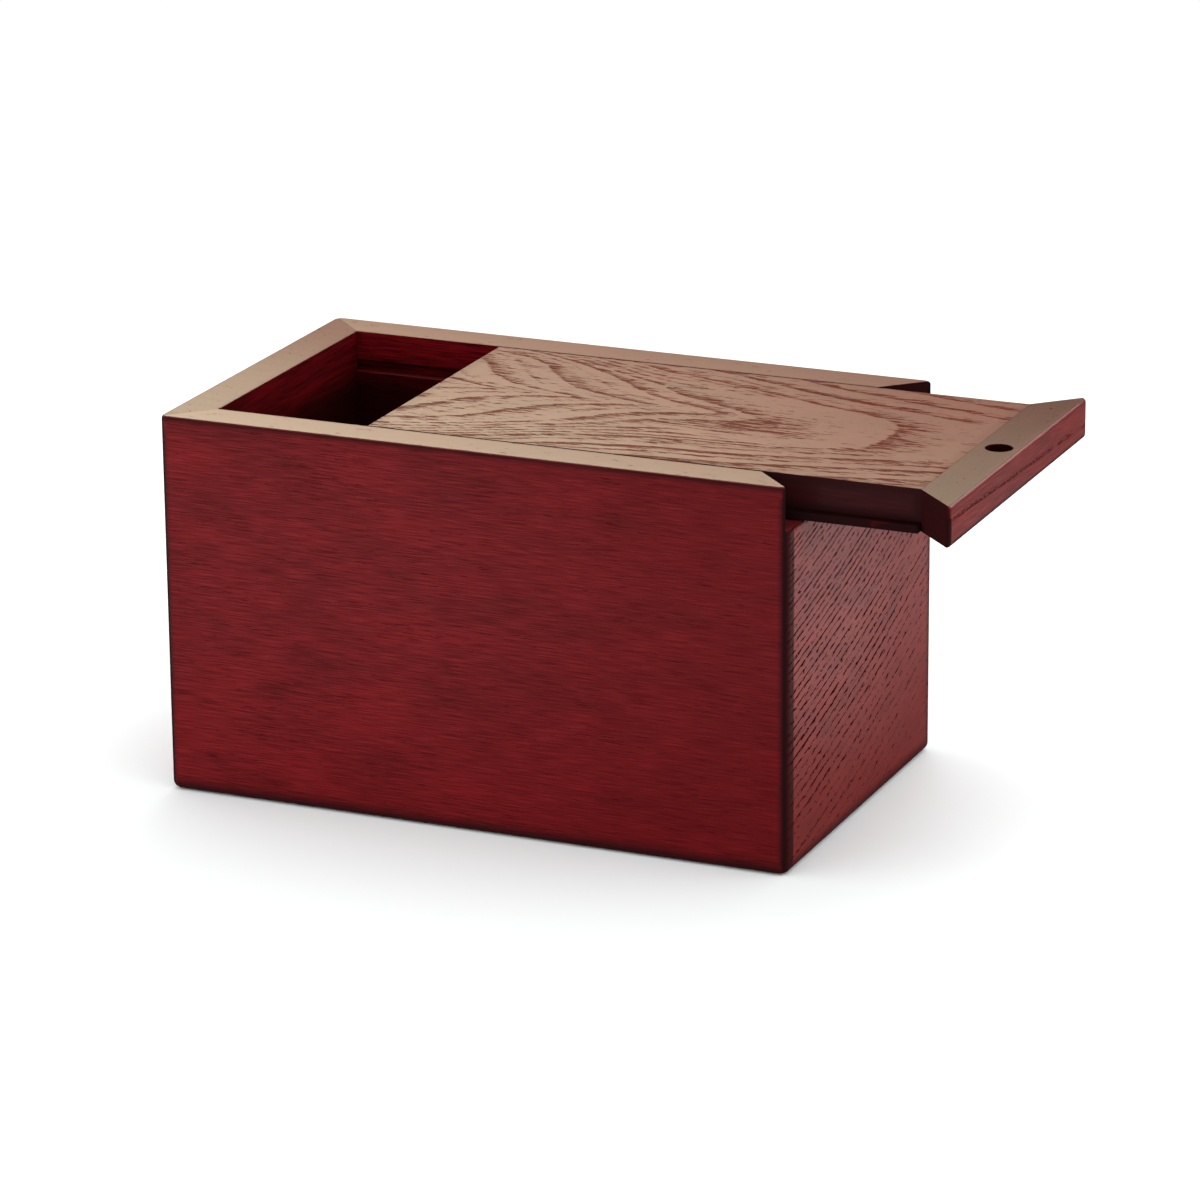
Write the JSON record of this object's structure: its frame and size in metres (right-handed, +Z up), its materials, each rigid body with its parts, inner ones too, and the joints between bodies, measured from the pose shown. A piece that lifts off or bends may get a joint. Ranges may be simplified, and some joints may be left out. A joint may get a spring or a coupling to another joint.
{
  "type": "sliding lid box",
  "caption": "Red-stained wooden box with mitred corners and a lid that slides in grooves of the long walls; the lid's mitred end cap completes the rim and has a round pull hole.",
  "frame": {"origin": "middle of the box's underside, on the face of the bottom panel", "axes": "+X the way the lid draws out, past the open end; -Y the front; +Z up"},
  "size_m": [0.2237, 0.109, 0.1055],
  "materials": {
    "long_wall_wood": "cherry red stain with fine straight grain, darkened edges, satin lacquer",
    "end_wall_wood": "cherry red stain with dark open pores, darkened edges, satin lacquer",
    "lid_wood": "cherry red stain with dark cathedral grain, satin lacquer",
    "cap_wood": "cherry red stain, darkened edges, satin lacquer",
    "runner_wood": "dark red stain, matt",
    "bottom_wood": "dark red stain, matt",
    "bare_wood": "unstained, as cut"
  },
  "bodies": {
    "box": {"front_wall": "long_wall_wood", "back_wall": "long_wall_wood", "closed_end_wall": "end_wall_wood", "open_end_wall": "end_wall_wood", "bottom_panel": "bottom_wood", "front_closed_spline": "bare_wood", "front_open_spline": "bare_wood", "back_closed_spline": "bare_wood", "back_open_spline": "bare_wood"},
    "lid": {"lid_panel": "lid_wood", "lid_runner_board": "runner_wood", "lid_end_cap": "cap_wood", "lid_dowels": "bare_wood"}
  },
  "joints": [
    {"name": "lid_slide", "type": "slide", "parent": "box", "child": "lid", "axis": [1, 0, 0], "range_m": [-0.0437, 0.126]}
  ]
}
